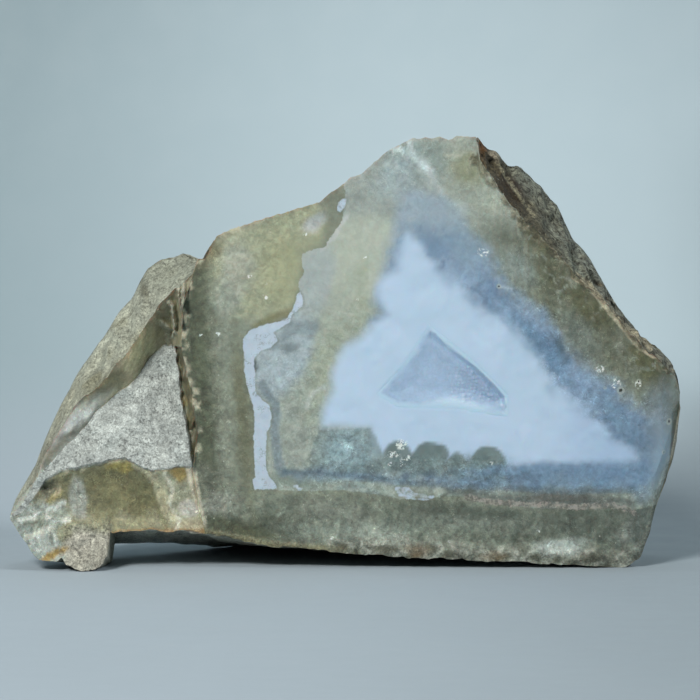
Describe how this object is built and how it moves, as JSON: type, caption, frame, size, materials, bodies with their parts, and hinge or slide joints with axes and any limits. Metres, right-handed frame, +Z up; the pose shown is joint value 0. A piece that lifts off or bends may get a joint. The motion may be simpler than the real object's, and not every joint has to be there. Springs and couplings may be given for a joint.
{
  "type": "chalcedony hand specimen",
  "caption": "Broken chalcedony hand specimen with a flat face, a blue-white core, a grainy matrix wing and a small druse-lined hollow; lies on its underside.",
  "frame": {"origin": "under the middle of the stone's bounding box, on the surface that it lies on", "axes": "+X along the stone's length, towards its tall end's right side; +Y from the flat face towards the broken back; +Z up"},
  "size_m": [0.1123, 0.049, 0.0722],
  "materials": {
    "chalcedony": "translucent, waxy where broken, dull and grainy on the matrix",
    "druse": "fine glittering quartz crystals"
  },
  "bodies": {
    "root": {"chalcedony_stone": "chalcedony", "hollow_druse": "druse"}
  },
  "joints": []
}
